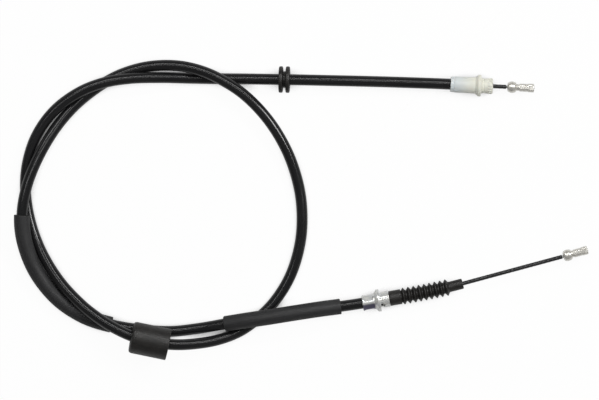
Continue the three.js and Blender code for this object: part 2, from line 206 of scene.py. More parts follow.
def bumped(tree, shader, height, depth, under=None):
    """Relief of that depth in metres, on top of other relief if there is any."""
    inputs = {"Height": height, "Strength": 1.0, "Distance": depth}
    if under is not None:
        inputs["Normal"] = under
    bump = add_node(tree, "ShaderNodeBump", inputs)
    tree.links.new(bump.outputs["Normal"], shader.inputs["Normal"])
    return bump.outputs["Normal"]


def tube_tree():
    """Geometry nodes that sweep a round or lobed section along a path, with a lay like a rope's."""
    tree = bpy.data.node_groups.new("tube_along_path", "GeometryNodeTree")
    tree.interface.new_socket("Geometry", in_out="OUTPUT", socket_type="NodeSocketGeometry")
    tree.interface.new_socket("Path", in_out="INPUT", socket_type="NodeSocketGeometry")
    for name, start in (("Radius", 0.001), ("Lobe Height", 0.0), ("Turns per Metre", 0.0)):
        tree.interface.new_socket(name, in_out="INPUT", socket_type="NodeSocketFloat").default_value = start
    for name, start in (("Sides", 16), ("Lobes", 6)):
        tree.interface.new_socket(name, in_out="INPUT", socket_type="NodeSocketInt").default_value = start
    tree.interface.new_socket("Material", in_out="INPUT", socket_type="NodeSocketMaterial")
    given = add_node(tree, "NodeGroupInput").outputs

    along = add_node(tree, "GeometryNodeSplineParameter").outputs["Length"]
    path = add_node(tree, "GeometryNodeMeshToCurve", {"Mesh": given["Path"]})
    turns = add_node(tree, "ShaderNodeMath", {0: along, 1: given["Turns per Metre"]}, operation="MULTIPLY")
    tilt = add_node(tree, "ShaderNodeMath", {0: turns.outputs[0], 1: math.tau}, operation="MULTIPLY")
    tilted = add_node(tree, "GeometryNodeSetCurveTilt", {"Curve": path.outputs[0], "Tilt": tilt.outputs[0]})
    measured = add_node(tree, "GeometryNodeStoreNamedAttribute", {
        "Geometry": tilted.outputs[0], "Name": "along", "Value": along,
    }, data_type="FLOAT", domain="POINT")

    circle = add_node(tree, "GeometryNodeCurvePrimitiveCircle", {
        "Resolution": given["Sides"], "Radius": given["Radius"],
    }, mode="RADIUS")
    share = add_node(tree, "GeometryNodeSplineParameter").outputs["Factor"]
    angle = add_node(tree, "ShaderNodeMath", {0: share, 1: math.tau}, operation="MULTIPLY")
    lobe = add_node(tree, "ShaderNodeMath", {
        0: angle.outputs[0], 1: given["Lobes"],
    }, operation="MULTIPLY")
    wave = add_node(tree, "ShaderNodeMath", {0: lobe.outputs[0]}, operation="COSINE")
    rise = add_node(tree, "ShaderNodeMath", {
        0: wave.outputs[0], 1: given["Lobe Height"], 2: 1.0,
    }, operation="MULTIPLY_ADD")
    place = add_node(tree, "GeometryNodeInputPosition").outputs[0]
    swollen = add_node(tree, "ShaderNodeVectorMath", {
        0: place, "Scale": rise.outputs[0],
    }, operation="SCALE")
    section = add_node(tree, "GeometryNodeSetPosition", {
        "Geometry": circle.outputs[0], "Position": swollen.outputs[0],
    })
    kept = add_node(tree, "GeometryNodeStoreNamedAttribute", {
        "Geometry": section.outputs[0], "Name": "across", "Value": place,
    }, data_type="FLOAT_VECTOR", domain="POINT")

    swept = add_node(tree, "GeometryNodeCurveToMesh", {
        "Curve": measured.outputs[0], "Profile Curve": kept.outputs[0], "Fill Caps": True,
    })
    length = add_node(tree, "GeometryNodeInputNamedAttribute", {"Name": "along"}, data_type="FLOAT")
    width = add_node(tree, "GeometryNodeInputNamedAttribute", {"Name": "across"}, data_type="FLOAT_VECTOR")
    parts = add_node(tree, "ShaderNodeSeparateXYZ", {0: width.outputs[0]})
    made = add_node(tree, "ShaderNodeCombineXYZ", {
        0: length.outputs[0], 1: parts.outputs[0], 2: parts.outputs[1],
    })
    marked = add_node(tree, "GeometryNodeStoreNamedAttribute", {
        "Geometry": swept.outputs[0], "Name": "as_made", "Value": made.outputs[0],
    }, data_type="FLOAT_VECTOR", domain="POINT")
    smooth = add_node(tree, "GeometryNodeSetShadeSmooth", {"Geometry": marked.outputs[0]})
    real = add_node(tree, "GeometryNodeRealizeInstances", {"Geometry": smooth.outputs[0]})
    painted = add_node(tree, "GeometryNodeSetMaterial", {
        "Geometry": real.outputs[0], "Material": given["Material"],
    })
    add_node(tree, "NodeGroupOutput", {"Geometry": painted.outputs[0]})
    return tree


def run_nodes(obj, name, tree, settings):
    """Runs a geometry node tree on an object, and keeps the result as a plain mesh."""
    modifier = obj.modifiers.new("nodes", "NODES")
    modifier.node_group = tree
    for socket in tree.interface.items_tree:
        if socket.name in settings:
            modifier[socket.identifier] = settings[socket.name]
    seen = bpy.context.evaluated_depsgraph_get()
    made = bpy.data.meshes.new_from_object(obj.evaluated_get(seen))
    obj.modifiers.clear()
    obj.data = made
    obj.name = made.name = name
    return obj


def along_path(name, points, settings):
    """A tube along a path of points."""
    start = bpy.data.meshes.new(name)
    start.from_pydata(points, [(i, i + 1) for i in range(len(points) - 1)], [])
    obj = bpy.data.objects.new(name, start)
    bpy.context.scene.collection.objects.link(obj)
    return run_nodes(obj, name, tube, settings)


def fitted(obj, body, slot, *nodes):
    """The finished piece rides on its body, and stands for its nodes of the CAD model."""
    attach(obj, body)
    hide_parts(*nodes)
    return obj


# Extruded polyethylene, cooled in water: deep black and glossy, with faint draw lines along it
jacket, nodes, shader = new_material("extruded_polyethylene", {
    "Metallic": 0.0, "IOR": 1.5, "Specular IOR Level": 0.42,
})
wear = patches(nodes, (30 * mm, 3 * mm, 3 * mm))
tinted(nodes, shader, wear, jacket_black, "#1f1f20")
gloss = patches(nodes, (60 * mm, 1.5 * mm, 1.5 * mm), low=0.13, high=0.2)
nodes.links.new(gloss, shader.inputs["Roughness"])
draw_lines = patches(nodes, (80 * mm, 0.7 * mm, 0.7 * mm), detail=1.0)
ripple = patches(nodes, (14 * mm, 8 * mm, 8 * mm), detail=0.0)
relief = bumped(nodes, shader, draw_lines, 0.003 * mm)
bumped(nodes, shader, ripple, 0.05 * mm, relief)

tube = tube_tree()
conduit = along_path("conduit", conduit_way, {
    "Radius": conduit_radius, "Sides": conduit_sides, "Material": jacket,
})
fitted(conduit, "conduit", "jacket_plastic", "conduit_jacket")

# Layers under the jacket: they only show where a ferrule's bore is open. The steel spiral is drawn
# wire with an oil film, and the liner is a natural, waxy plastic that the strand slides in.
spiral, nodes, shader = new_material("oiled_spring_wire", {"Metallic": 1.0, "Roughness": 0.35})
tinted(nodes, shader, patches(nodes, (2 * mm, 2 * mm, 2 * mm)), "#6f7174", "#96989b")
liner, nodes, shader = new_material("natural_polymer_liner", {"Roughness": 0.42, "IOR": 1.5})
tinted(nodes, shader, patches(nodes, (9 * mm, 2 * mm, 2 * mm)), "#d9d7cc", "#e6e4da")
for name, material in (("conduit_armour", spiral), ("conduit_liner", liner)):
    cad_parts[name].data.materials.clear()
    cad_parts[name].data.materials.append(material)

# Inner cable: a steel rope in a thin black nylon coat, drawn tight enough for the rope's lay to
# show through. It slides in the conduit, and comes out of the boot, so the boot's length counts
# here. The bare rope shows for a millimetre at each nipple.
coat_radius = 1.65 * mm
strand_radius = 1.1 * mm
rope_lay = 22 * mm
rope_step = 0.4 * mm
front_seat_depth = 19.0 * mm
front_ferrule_length = 33.8 * mm
front_tail = 20.0 * mm
front_free_wire = 11.8 * mm
rear_tail = 13.0 * mm
rear_free_wire = 83.3 * mm
rear_wire_angle = math.radians(15.1)
bare_rope = 1.1 * mm
nipple_reach = 6.0 * mm
rear_ferrule_length = 21.5 * mm
seat_gap = 0.3 * mm
boot_chord_angle = math.radians(11.6)
cuff_length = 9.5 * mm
fold_count = 9
fold_pitch = 4.35 * mm
nose_length = 11.3 * mm
boot_length = cuff_length + fold_count * fold_pitch + nose_length


def in_plane(angle):
    return Vector((math.cos(angle), math.sin(angle), 0.0))


front_direction = (route[0] - route[1]).normalized()
front_entry = route[0] - front_direction * front_seat_depth
front_tip = front_entry + front_direction * front_ferrule_length
rear_wire_direction = in_plane(rear_wire_angle)
boot_start = rear_entry + rear_direction * (rear_ferrule_length + seat_gap)
boot_tip = boot_start + in_plane(boot_chord_angle) * boot_length


def straight_run(start, direction, first, last, step):
    count = max(2, round((last - first) / step))
    return [start + direction * (first + (last - first) * i / count) for i in range(count + 1)]


coat, nodes, shader = new_material("nylon_rope_coat", {"Roughness": 0.34, "IOR": 1.53})
tinted(nodes, shader, patches(nodes, (6 * mm, 1 * mm, 1 * mm)), "#1b1b1c", "#2a2a2b")
bumped(nodes, shader, patches(nodes, (1.2 * mm, 0.5 * mm, 0.5 * mm)), 0.02 * mm)
rope, nodes, shader = new_material("drawn_steel_rope", {"Metallic": 1.0, "Roughness": 0.3})
tinted(nodes, shader, patches(nodes, (1 * mm, 0.3 * mm, 0.3 * mm)), "#8d8e8c", "#b9bab7")
for name, material in (("middle_coat", coat), ("middle_strand", rope)):
    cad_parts[name].data.materials.clear()
    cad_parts[name].data.materials.append(material)

rear_coat_end = rear_free_wire - bare_rope
front_coat_end = front_free_wire - bare_rope
rear_coat_way = straight_run(boot_tip, rear_wire_direction, -rear_tail, rear_coat_end, rope_step)
front_coat_way = straight_run(front_tip, front_direction, -front_tail, front_coat_end, rope_step)
for side, way in (("rear", rear_coat_way), ("front", front_coat_way)):
    direction = (way[-1] - way[0]).normalized()
    coated = along_path(f"{side}_coated_rope", way, {
        "Radius": coat_radius * 0.97, "Lobe Height": 0.03, "Lobes": 6,
        "Turns per Metre": 1 / rope_lay, "Sides": 36, "Material": coat,
    })
    fitted(coated, f"{side}_end", "coat_plastic", f"{side}_coat")
    bare_way = straight_run(way[-1], direction, -2 * mm, bare_rope + nipple_reach, rope_step)
    bare = along_path(f"{side}_bare_rope", bare_way, {
        "Radius": strand_radius * 0.92, "Lobe Height": 0.08, "Lobes": 6,
        "Turns per Metre": 1 / rope_lay, "Sides": 36, "Material": rope,
    })
    fitted(bare, f"{side}_end", "strand_steel", f"{side}_strand")

# Front ferrule: one moulding of natural white nylon, pushed over the conduit. A conical shoulder
# stops it in the bracket's hole, and the ribbed tip snaps in. It has a shallow window on each side.
nylon_sides = 120
rib_count = 18
wire_bore = 2.15 * mm
conduit_seat = 4.7 * mm
band_radius = 6.1 * mm
barrel_radius = 6.5 * mm
shoulder_radius = 8.65 * mm
nose_radius = 6.0 * mm
groove_radius = 5.6 * mm
window_start = 4.4 * mm
window_end = 11.4 * mm
front_seat_end = 19.3 * mm


def rounded(corners, steps=4):
    """A closed profile of (place along the axis, radius, rounding), with its corners rounded off."""
    support = 0.06 * mm
    points = []
    for i, (along, radius, rounding) in enumerate(corners):
        corner = Vector((along, radius))
        back = Vector(corners[i - 1][:2]) - corner
        on = Vector(corners[(i + 1) % len(corners)][:2]) - corner
        if rounding == 0:
            points.append(corner)
            continue
        reach = rounding / math.tan(back.angle(on) / 2)
        reach = min(reach, 0.45 * back.length, 0.45 * on.length)
        start = corner + back.normalized() * reach
        end = corner + on.normalized() * reach
        points.append(start + back.normalized() * min(support, 0.03 * back.length))
        for k in range(steps + 1):
            t = k / steps
            points.append((1 - t) ** 2 * start + 2 * t * (1 - t) * corner + t**2 * end)
        points.append(end + on.normalized() * min(support, 0.03 * on.length))
    return points


def turned(name, profile, sides, shaped=None):
    """A closed profile turned about the X axis. shaped changes (along, radius, angle) to a radius."""
    form = bmesh.new()
    rings = []
    for along, radius in profile:
        if radius < 1e-7:
            rings.append([form.verts.new((along, 0, 0))] * sides)
            continue
        ring = []
        for k in range(sides):
            angle = math.tau * k / sides
            r = shaped(along, radius, angle) if shaped else radius
            ring.append(form.verts.new((along, r * math.cos(angle), r * math.sin(angle))))
        rings.append(ring)
    for a, b in zip(rings, rings[1:] + rings[:1]):
        for k in range(sides):
            corners = list(dict.fromkeys((a[k], a[(k + 1) % sides], b[(k + 1) % sides], b[k])))
            if len(corners) > 2:
                form.faces.new(corners)
    bmesh.ops.recalc_face_normals(form, faces=form.faces)
    return as_object(name, form)


def as_object(name, form):
    mesh = bpy.data.meshes.new(name)
    form.to_mesh(mesh)
    form.free()
    mesh.polygons.foreach_set("use_smooth", [True] * len(mesh.polygons))
    obj = bpy.data.objects.new(name, mesh)
    bpy.context.scene.collection.objects.link(obj)
    return obj


def cut_out(obj, cutter):
    """Takes the cutter's shape out of obj, and removes the cutter."""
    modifier = obj.modifiers.new("cut", "BOOLEAN")
    modifier.object = cutter
    modifier.operation = "DIFFERENCE"
    modifier.solver = "EXACT"
    seen = bpy.context.evaluated_depsgraph_get()
    obj.data = bpy.data.meshes.new_from_object(obj.evaluated_get(seen))
    obj.modifiers.clear()
    bpy.data.objects.remove(cutter)


def block(name, low, high, rounding):
    """A block with rounded edges between two corners."""
    form = bmesh.new()
    bmesh.ops.create_cube(form, size=1.0)
    size = Vector(high) - Vector(low)
    middle = (Vector(high) + Vector(low)) / 2
    placed = Matrix.Translation(middle) @ Matrix.Diagonal((*size, 1.0))
    bmesh.ops.transform(form, matrix=placed, verts=form.verts)
    bmesh.ops.bevel(form, geom=form.edges, offset=rounding, segments=3, profile=0.5, affect="EDGES")
    return as_object(name, form)


def marked_mesh(obj, material):
    """The piece's mesh, with its material, and with a mark of where each point was as made."""
    mesh = obj.data
    mesh.materials.clear()
    mesh.materials.append(material)
    made = mesh.attributes.new("as_made", "FLOAT_VECTOR", "POINT")
    for vertex, value in zip(mesh.vertices, made.data):
        value.vector = vertex.co
    return mesh


def put(obj, material, origin, direction):
    """Moves a finished piece, so that X points in a direction and the origin is at a place."""
    mesh = marked_mesh(obj, material)
    side = Vector((0, 0, 1)).cross(direction).normalized()
    turn = Matrix((direction, side, direction.cross(side))).transposed().to_4x4()
    mesh.transform(Matrix.Translation(origin) @ turn)
    return obj


nylon, nodes, shader = new_material("moulded_white_nylon", {
    "IOR": 1.53, "Subsurface Weight": 0.25, "Subsurface Scale": 0.002,
    "Subsurface Radius": (1.0, 0.9, 0.8),
})
# Painted shade: the barrel is tinted cooler and greyer towards the end that holds the conduit, for the
# black conduit seen through its thin wall
made = add_node(nodes, "ShaderNodeAttribute", attribute_name="as_made")
parts = add_node(nodes, "ShaderNodeSeparateXYZ", {0: made.outputs["Vector"]})
painted_see_through_shade = add_node(nodes, "ShaderNodeMapRange", {
    "Value": parts.outputs["X"], "From Min": 2 * mm, "From Max": 21 * mm,
}, interpolation_type="SMOOTHSTEP")
tinted(nodes, shader, painted_see_through_shade.outputs["Result"], "#d3d9da", "#e4e4d8")
gloss = patches(nodes, (4 * mm, 4 * mm, 4 * mm), low=0.34, high=0.46)
nodes.links.new(gloss, shader.inputs["Roughness"])
bumped(nodes, shader, patches(nodes, (0.8 * mm, 0.8 * mm, 0.8 * mm)), 0.015 * mm)

front_ferrule = turned("nylon_ferrule", rounded([
    (0.0, conduit_seat, 0.2 * mm), (0.0, band_radius, 0.4 * mm),
    (3.0 * mm, band_radius, 0.2 * mm), (3.3 * mm, barrel_radius, 0.3 * mm),
    (19.6 * mm, barrel_radius, 1.0 * mm), (22.2 * mm, shoulder_radius, 0.5 * mm),
    (24.4 * mm, shoulder_radius, 0.6 * mm), (24.4 * mm, nose_radius, 0.4 * mm),
    (26.0 * mm, nose_radius, 0.2 * mm), (26.15 * mm, groove_radius, 0.15 * mm),
    (27.05 * mm, groove_radius, 0.15 * mm), (27.2 * mm, nose_radius, 0.2 * mm),
    (front_ferrule_length, nose_radius, 0.5 * mm), (front_ferrule_length, wire_bore, 0.3 * mm),
    (front_seat_end, wire_bore, 0.0), (front_seat_end, conduit_seat, 0.0),
]), nylon_sides)
for side in (-1, 1):
    window = block(
        "window",
        (window_start, side * barrel_radius - 0.6 * mm, -1.3 * mm),
        (window_end, side * barrel_radius + 0.6 * mm, 1.3 * mm),
        0.3 * mm,
    )
    cut_out(front_ferrule, window)
put(front_ferrule, nylon, front_entry, front_direction)
fitted(front_ferrule, "conduit", "white_nylon", "front_ferrule")


def ring_tree():
    """Geometry nodes that set one shape out round the X axis, at each point of a circle."""
    tree = bpy.data.node_groups.new("ring_of_ribs", "GeometryNodeTree")
    tree.interface.new_socket("Geometry", in_out="OUTPUT", socket_type="NodeSocketGeometry")
    tree.interface.new_socket("Rib", in_out="INPUT", socket_type="NodeSocketGeometry")
    tree.interface.new_socket("Count", in_out="INPUT", socket_type="NodeSocketInt").default_value = 8
    tree.interface.new_socket("Radius", in_out="INPUT", socket_type="NodeSocketFloat").default_value = 0.01
    tree.interface.new_socket("Material", in_out="INPUT", socket_type="NodeSocketMaterial")
    given = add_node(tree, "NodeGroupInput").outputs
    circle = add_node(tree, "GeometryNodeMeshCircle", {
        "Vertices": given["Count"], "Radius": given["Radius"],
    })
    upright = add_node(tree, "GeometryNodeTransform", {
        "Geometry": circle.outputs[0], "Rotation": (0.0, math.pi / 2, 0.0),
    })
    place = add_node(tree, "GeometryNodeInputPosition").outputs[0]
    facing = add_node(tree, "FunctionNodeAlignRotationToVector", {
        "Vector": place,
    }, axis="Z", pivot_axis="X")
    set_out = add_node(tree, "GeometryNodeInstanceOnPoints", {
        "Points": upright.outputs[0], "Instance": given["Rib"], "Rotation": facing.outputs[0],
    })
    real = add_node(tree, "GeometryNodeRealizeInstances", {"Geometry": set_out.outputs[0]})
    painted = add_node(tree, "GeometryNodeSetMaterial", {
        "Geometry": real.outputs[0], "Material": given["Material"],
    })
    add_node(tree, "NodeGroupOutput", {"Geometry": painted.outputs[0]})
    return tree


ring = ring_tree()
rib = block("rib", (29.9 * mm, -0.62 * mm, -0.8 * mm), (33.3 * mm, 0.62 * mm, 0.34 * mm), 0.25 * mm)
ribs = run_nodes(rib, "front_tip_ribs", ring, {
    "Count": rib_count, "Radius": nose_radius, "Material": nylon,
})
put(ribs, nylon, front_entry, front_direction)
fitted(ribs, "conduit", "white_nylon", "front_ferrule")

# Rear ferrule: turned and zinc-plated steel, crimped on the conduit with six flats. Its cone and
# flange seat in the backing plate, a slot shows the conduit's end, and the boot is pulled over it.
steel_sides = 144
sleeve_radius = 6.15 * mm
flange_radius = 8.9 * mm
neck_radius = 6.2 * mm
ring_line = 5.95 * mm
lip_radius = 6.5 * mm
spigot_radius = 4.5 * mm
spigot_end = 29.9 * mm
rear_seat_end = 16.8 * mm
slot_turn = math.radians(52)
crimp_flat = 5.72 * mm
crimp_from = 1.3 * mm
crimp_to = 8.3 * mm
crimp_ramp = 0.7 * mm

zinc_plate, nodes, shader = new_material("bright_zinc_plate", {"Metallic": 0.6})
# Clear passivation over zinc: mostly silver, with cooler and warmer patches and fine turning marks
tone = patches(nodes, (5 * mm, 3 * mm, 3 * mm))
silver = tinted(nodes, shader, tone, "#dfe2e4", "#f4f3ec")
# Painted reflection: the crimped sleeve is tinted a dark blue-grey on its side away from the soft boxes, as
# if it mirrored the dark studio there
made = add_node(nodes, "ShaderNodeAttribute", attribute_name="as_made")
parts = add_node(nodes, "ShaderNodeSeparateXYZ", {0: made.outputs["Vector"]})
painted_reflection_side = add_node(nodes, "ShaderNodeMapRange", {
    "Value": parts.outputs["Y"], "From Min": -0.8 * mm, "From Max": -2.4 * mm,
}, interpolation_type="SMOOTHSTEP")
on_sleeve = add_node(nodes, "ShaderNodeMapRange", {
    "Value": parts.outputs["X"], "From Min": 10.5 * mm, "From Max": 9.0 * mm,
}, interpolation_type="SMOOTHSTEP")
painted_dark_reflection = add_node(nodes, "ShaderNodeMath", {
    0: painted_reflection_side.outputs[0], 1: on_sleeve.outputs[0],
}, operation="MULTIPLY")
# Base colour: the silver tone, with the painted dark reflection mixed in on the side away from the soft
# boxes
plated_with_painted_reflection = add_node(nodes, "ShaderNodeMix", {
    0: painted_dark_reflection.outputs[0], 6: silver, 7: linear("#6b687c"),
}, data_type="RGBA")
nodes.links.new(plated_with_painted_reflection.outputs[2], shader.inputs["Base Color"])
gloss = patches(nodes, (4 * mm, 3 * mm, 3 * mm), low=0.26, high=0.36)
nodes.links.new(gloss, shader.inputs["Roughness"])
bumped(nodes, shader, patches(nodes, (0.9 * mm, 30 * mm, 30 * mm), detail=0.0), 0.003 * mm)


def crimped(along, radius, angle):
    """The sleeve's outside, pressed in to six flats between the crimp's two ends."""
    if radius < 5.5 * mm or along > crimp_to + crimp_ramp:
        return radius
    depth = min((along - crimp_from) / crimp_ramp, (crimp_to - along) / crimp_ramp + 1, 1.0)
    off = abs((angle + math.pi / 6) % (math.pi / 3) - math.pi / 6)
    flat = crimp_flat / math.cos(off)
    return radius + max(0.0, depth) * (min(radius, flat) - radius)


crimp_rings = [(crimp_from + crimp_ramp * i / 3, sleeve_radius, 0.0) for i in range(4)]
crimp_rings += [(crimp_to + crimp_ramp * i / 3, sleeve_radius, 0.0) for i in range(4)]
rear_ferrule = turned("crimped_ferrule", rounded([
    (0.0, conduit_seat, 0.2 * mm), (0.0, sleeve_radius, 0.3 * mm), *crimp_rings,
    (10.1 * mm, sleeve_radius, 0.8 * mm), (12.1 * mm, flange_radius, 0.3 * mm),
    (14.2 * mm, flange_radius, 0.4 * mm), (14.2 * mm, 5.4 * mm, 0.3 * mm),
    (16.2 * mm, 5.4 * mm, 0.2 * mm), (16.2 * mm, neck_radius, 0.25 * mm),
    (17.4 * mm, neck_radius, 0.1 * mm), (17.55 * mm, ring_line, 0.05 * mm),
    (17.7 * mm, neck_radius, 0.1 * mm), (18.8 * mm, neck_radius, 0.1 * mm),
    (18.95 * mm, ring_line, 0.05 * mm), (19.1 * mm, neck_radius, 0.1 * mm),
    (20.4 * mm, neck_radius, 0.1 * mm), (20.5 * mm, lip_radius, 0.2 * mm),
    (rear_ferrule_length, lip_radius, 0.25 * mm), (rear_ferrule_length, spigot_radius, 0.2 * mm),
    (spigot_end, spigot_radius, 0.3 * mm), (spigot_end, wire_bore, 0.0),
    (rear_seat_end, wire_bore, 0.0), (rear_seat_end, conduit_seat, 0.0),
]), steel_sides, crimped)
slot_cutter = block("slot", (14.3 * mm, -1.5 * mm, 3.0 * mm), (17.9 * mm, 1.5 * mm, 8.0 * mm), 0.4 * mm)
slot_cutter.data.transform(Matrix.Rotation(slot_turn, 4, "X"))
cut_out(rear_ferrule, slot_cutter)
put(rear_ferrule, zinc_plate, rear_entry, rear_direction)
fitted(rear_ferrule, "conduit", "plated_steel", "rear_ferrule")

# Bellows boot: moulded black rubber with nine folds. Its cuff grips the rear ferrule, and its nose
# the strand, so the folds open and close as the strand slides, and keep dirt out of the conduit.
boot_sides = 72
boot_steps = 100
cuff_radius = 6.0 * mm
nose_outside = 4.2 * mm
crest_radius = 6.7 * mm
valley_radius = 4.5 * mm
boot_wall = 1.0 * mm
boot_handle = 20.0 * mm

rubber, nodes, shader = new_material("moulded_black_rubber", {"IOR": 1.52})
# Moulded rubber: dull black with a faint grey bloom, finely pitted like its mould
bloom = patches(nodes, (5 * mm, 2 * mm, 2 * mm))
tinted(nodes, shader, bloom, "#191817", "#272523")
gloss = patches(nodes, (1.5 * mm, 1.5 * mm, 1.5 * mm), low=0.34, high=0.52)
nodes.links.new(gloss, shader.inputs["Roughness"])
bumped(nodes, shader, patches(nodes, (0.5 * mm, 0.5 * mm, 0.5 * mm)), 0.03 * mm)


def follow(obj, material, path, start=0.0):
    """Bends a piece made on the X axis along a path of evenly spaced points."""
    mesh = marked_mesh(obj, material)
    step = length_of(path) / (len(path) - 1)
    for vertex in mesh.vertices:
        place = (vertex.co.x + start) / step
        at = min(max(int(place), 0), len(path) - 2)
        middle = path[at].lerp(path[at + 1], place - at)
        before = path[max(at - 1, 0)]
        after = path[min(at + 2, len(path) - 1)]
        share = place - at
        direction = (path[at + 1] - before).lerp(after - path[at], share).normalized()
        side = Vector((0, 0, 1)).cross(direction).normalized()
        vertex.co = middle + side * vertex.co.y + direction.cross(side) * vertex.co.z
    return obj


handle = boot_start + rear_direction * boot_handle
far_handle = boot_tip - rear_wire_direction * boot_handle
boot_way = []
for i in range(boot_steps + 1):
    t = i / boot_steps
    boot_way.append(
        (1 - t) ** 3 * boot_start + 3 * t * (1 - t) ** 2 * handle
        + 3 * t**2 * (1 - t) * far_handle + t**3 * boot_tip
    )

boot_outside = [(0.0, spigot_radius + seat_gap, 0.0), (0.0, cuff_radius, 0.5 * mm)]
boot_outside.append((cuff_length, cuff_radius, 0.5 * mm))
boot_inside = []
for i in range(fold_count):
    fold = cuff_length + i * fold_pitch
    boot_outside.append((fold + 0.35 * mm, valley_radius, 0.3 * mm))
    boot_outside.append((fold + fold_pitch / 2 - 0.28 * mm, crest_radius, 0.42 * mm))
    boot_outside.append((fold + fold_pitch / 2 + 0.28 * mm, crest_radius, 0.42 * mm))
    boot_outside.append((fold + fold_pitch - 0.35 * mm, valley_radius, 0.3 * mm))
    boot_inside.append((fold + 0.3 * mm, valley_radius - boot_wall, 0.0))
    boot_inside.append((fold + fold_pitch / 2, crest_radius - boot_wall, 0.0))
nose_at = cuff_length + fold_count * fold_pitch
boot_outside += [
    (nose_at + 0.2 * mm, nose_outside, 0.5 * mm), (boot_length, nose_outside, 1.0 * mm),
    (boot_length, coat_radius + seat_gap, 0.3 * mm),
]
boot_inside += [
    (nose_at, valley_radius - boot_wall, 0.0), (nose_at + boot_wall, coat_radius + seat_gap, 0.0),
]
boot = turned("bellows_boot", rounded(boot_outside + boot_inside[::-1]), boot_sides)
follow(boot, rubber, boot_way)
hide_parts("rear_boot")
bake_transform(boot)

# Nipples: zinc, cast round the rope's bare end. The ball turns in the lever's fork, and the shank
# behind it has two flats where the mould closed. The rope's end shows as a stub.
nipple_sides = 64
ball_steps = 24
ball_radius = 4.5 * mm
ball_length = 7.1 * mm
ball_flat = 2.5 * mm
throat_radius = 2.6 * mm
shank_radius = 3.1 * mm
shank_end_radius = 3.4 * mm
shank_half_flat = 2.75 * mm
flats_from = 3.0 * mm

zinc, nodes, shader = new_material("tumbled_zinc_casting", {"Metallic": 0.7})
# Cast and tumbled zinc: a warm, slightly uneven silver with soft dents
tone = patches(nodes, (2.5 * mm, 2 * mm, 2 * mm))
tinted(nodes, shader, tone, "#e4e1d8", "#f5f3ec")
gloss = patches(nodes, (3 * mm, 3 * mm, 3 * mm), low=0.22, high=0.34)
nodes.links.new(gloss, shader.inputs["Roughness"])
bumped(nodes, shader, patches(nodes, (4 * mm, 4 * mm, 4 * mm), detail=1.0), 0.02 * mm)


def flattened(along, radius, angle):
    """The shank's outside, with a flat on its upper and lower side."""
    if radius < flats_from or along < ball_length:
        return radius
    off = abs(math.sin(angle))
    return min(radius, shank_half_flat / max(off, 1e-3))


for side, neck, shank, start, direction in (
    ("front", 2.4 * mm, 12.0 * mm, front_tip + front_direction * front_free_wire, front_direction),
    ("rear", 1.0 * mm, 12.2 * mm, boot_tip + rear_wire_direction * rear_free_wire, rear_wire_direction),
):
    neck_at = ball_length + neck
    end = neck_at + shank
    ball = []
    for i in range(ball_steps + 1):
        along = ball_length * i / ball_steps
        swell = math.sqrt(max(0.0, 1 - (2 * along / ball_length - 1) ** 2))
        ball.append((along, ball_flat + (ball_radius - ball_flat) * swell, 0.0))
    nipple = turned(f"{side}_ball_nipple", rounded([
        (nipple_reach, 0.0, 0.0), (nipple_reach, strand_radius + 0.1 * mm, 0.0),
        (0.5 * mm, strand_radius + 0.1 * mm, 0.1 * mm), (0.0, 2.0 * mm, 0.1 * mm), *ball,
        (ball_length, throat_radius, 0.2 * mm), (neck_at, throat_radius, 0.3 * mm),
        (neck_at + 0.6 * mm, shank_radius, 0.3 * mm), (end - 5.0 * mm, shank_radius, 0.2 * mm),
        (end - 4.8 * mm, shank_end_radius, 0.2 * mm), (end - 0.3 * mm, shank_end_radius, 0.5 * mm),
        (end - 0.3 * mm, 1.6 * mm, 0.2 * mm), (end - 1.2 * mm, 1.5 * mm, 0.2 * mm),
        (end - 1.2 * mm, 1.15 * mm, 0.1 * mm), (end, 1.1 * mm, 0.3 * mm), (end, 0.0, 0.0),
    ]), nipple_sides, flattened)
    put(nipple, zinc, start, direction)
    fitted(nipple, f"{side}_end", "nipple_zinc", f"{side}_nipple")

# Grommet: a moulded rubber ring with a groove, which holds the cable in a hole of the floor panel
# and seals it. It is pushed along the conduit to its place, and stays there by its grip.
grommet_sides = 96
grommet_at = 152.4 * mm
grommet_width = 8.7 * mm
grommet_radius = 10.6 * mm
grommet_groove = 6.6 * mm
half_groove = 1.15 * mm
grommet_index = round(grommet_at / (length_of(whole_way) / (len(whole_way) - 1)))
grommet_place = whole_way[grommet_index]
grommet_direction = (whole_way[grommet_index - 3] - whole_way[grommet_index + 3]).normalized()
half = grommet_width / 2
grommet = turned("panel_grommet", rounded([
    (-half, conduit_seat, 0.3 * mm), (-half, grommet_radius, 1.2 * mm),
    (-half_groove, grommet_radius, 1.1 * mm), (-half_groove, grommet_groove, 0.3 * mm),
    (half_groove, grommet_groove, 0.3 * mm), (half_groove, grommet_radius, 1.1 * mm),
    (half, grommet_radius, 1.2 * mm), (half, conduit_seat, 0.3 * mm),
]), grommet_sides)
put(grommet, rubber, grommet_place, grommet_direction)
fitted(grommet, "conduit", "fitting_rubber", "grommet")

# Guide bush: a thick rubber collar, slipped loosely on the conduit, where a clip holds it under the
# car. One end is rounded, and the other is cut square.
bush_middle = Vector((-119.8 * mm, -104.3 * mm, 20.2 * mm)) - box_middle
bush_angle = math.radians(-11.8)
bush_fall = math.tan(math.radians(3.6))
bush_direction = (in_plane(bush_angle) - Vector((0, 0, bush_fall))).normalized()
bush_sides = 96
bush_radius = 12.7 * mm
bush_bore = 6.4 * mm
bush_length = 30.4 * mm
half = bush_length / 2
bush = turned("clip_bush", rounded([
    (-half, bush_bore, 0.4 * mm), (-half, bush_radius, 3.6 * mm),
    (half, bush_radius, 0.8 * mm), (half, bush_bore, 0.4 * mm),
], steps=8), bush_sides)
put(bush, rubber, bush_middle, bush_direction)
fitted(bush, "conduit", "fitting_rubber", "guide_bush")

# Protective sleeves: lengths of rubber hose, cut square and slipped over the conduit where it would
# chafe on its other strand or on the car's body. The one on the loop has the other strand against it.
hose, nodes, shader = new_material("extruded_rubber_hose", {"IOR": 1.52})
